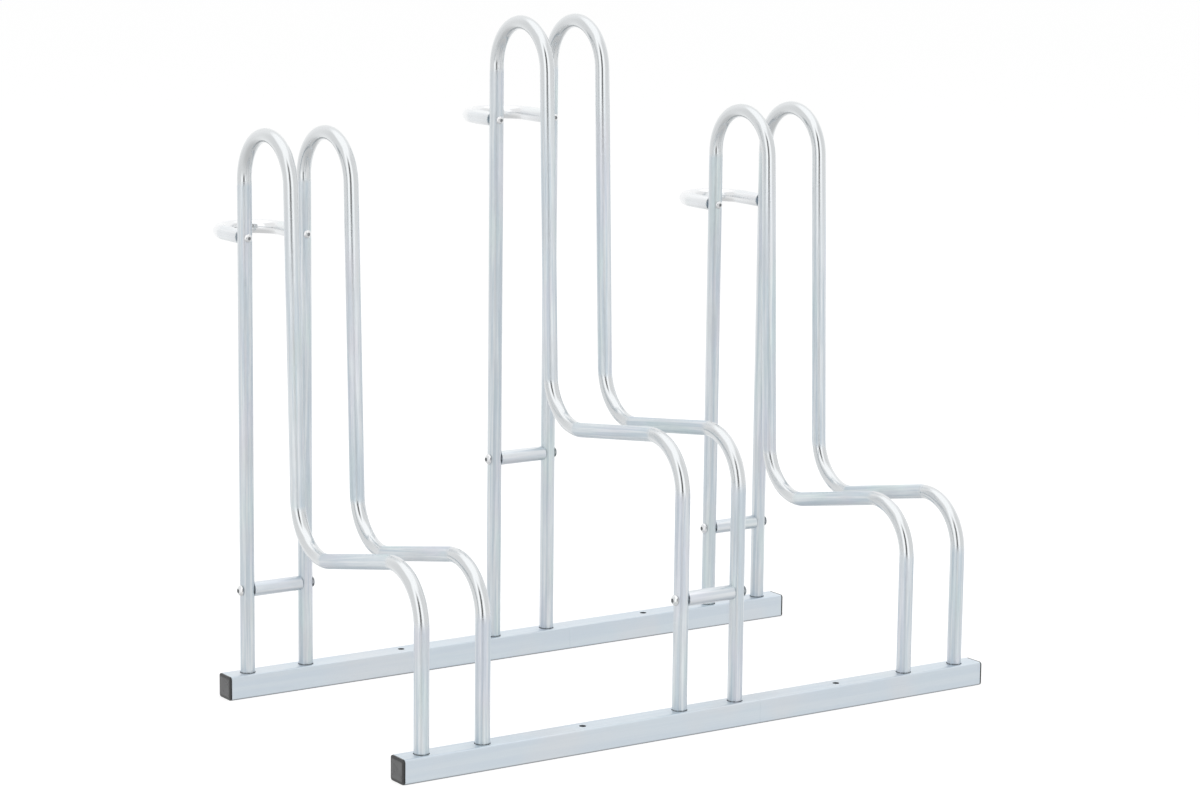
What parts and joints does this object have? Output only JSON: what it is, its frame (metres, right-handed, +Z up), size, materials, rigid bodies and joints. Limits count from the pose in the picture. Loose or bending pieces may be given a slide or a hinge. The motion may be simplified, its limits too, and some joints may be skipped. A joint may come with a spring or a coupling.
{
  "type": "floor bike rack",
  "caption": "Low floor rack for bikes: square rails joined by pairs of bent round tubes that hold a wheel between them, at staggered heights, with a lock loop behind each pair.",
  "frame": {"origin": "on the floor, below the middle of the rack's box", "axes": "+X along the rails, from the end of the long rail pieces to the end of the short ones; +Y from the side where the bikes roll in to the side with the lock loops; +Z up"},
  "size_m": [0.853, 0.544, 0.8399],
  "materials": {
    "zinc_steel": "bright zinc plated, satin, with faint draw lines",
    "bright_zinc": "bright zinc plated, smooth",
    "black_plastic": "moulded, matt"
  },
  "bodies": {
    "root": {"front_first_rail": "zinc_steel", "front_second_rail": "zinc_steel", "front_joiner": "zinc_steel", "rear_first_rail": "zinc_steel", "rear_second_rail": "zinc_steel", "rear_joiner": "zinc_steel", "front_joiner_screw": "bright_zinc", "rear_joiner_screw": "bright_zinc", "front_joiner_nut": "zinc_steel", "rear_joiner_nut": "zinc_steel", "front_left_cap": "black_plastic", "front_right_cap": "black_plastic", "rear_left_cap": "black_plastic", "rear_right_cap": "black_plastic", "left_holder_tube_1": "zinc_steel", "left_holder_tube_2": "zinc_steel", "middle_holder_tube_1": "zinc_steel", "middle_holder_tube_2": "zinc_steel", "right_holder_tube_1": "zinc_steel", "right_holder_tube_2": "zinc_steel", "left_lock_loop": "bright_zinc", "middle_lock_loop": "bright_zinc", "right_lock_loop": "bright_zinc", "left_loop_inserts": "zinc_steel", "middle_loop_inserts": "zinc_steel", "right_loop_inserts": "zinc_steel", "left_loop_bolts": "bright_zinc", "middle_loop_bolts": "bright_zinc", "right_loop_bolts": "bright_zinc", "left_spacer": "zinc_steel", "middle_spacer": "zinc_steel", "right_spacer": "zinc_steel", "middle_front_spacer": "zinc_steel", "left_spacer_inserts": "zinc_steel", "middle_spacer_inserts": "zinc_steel", "right_spacer_inserts": "zinc_steel", "middle_front_spacer_inserts": "zinc_steel", "left_spacer_bolts": "bright_zinc", "middle_spacer_bolts": "bright_zinc", "right_spacer_bolts": "bright_zinc", "middle_front_spacer_bolts": "bright_zinc", "front_leg_inserts": "zinc_steel", "rear_leg_inserts": "zinc_steel", "front_foot_screws": "bright_zinc", "rear_foot_screws": "bright_zinc"}
  },
  "joints": []
}
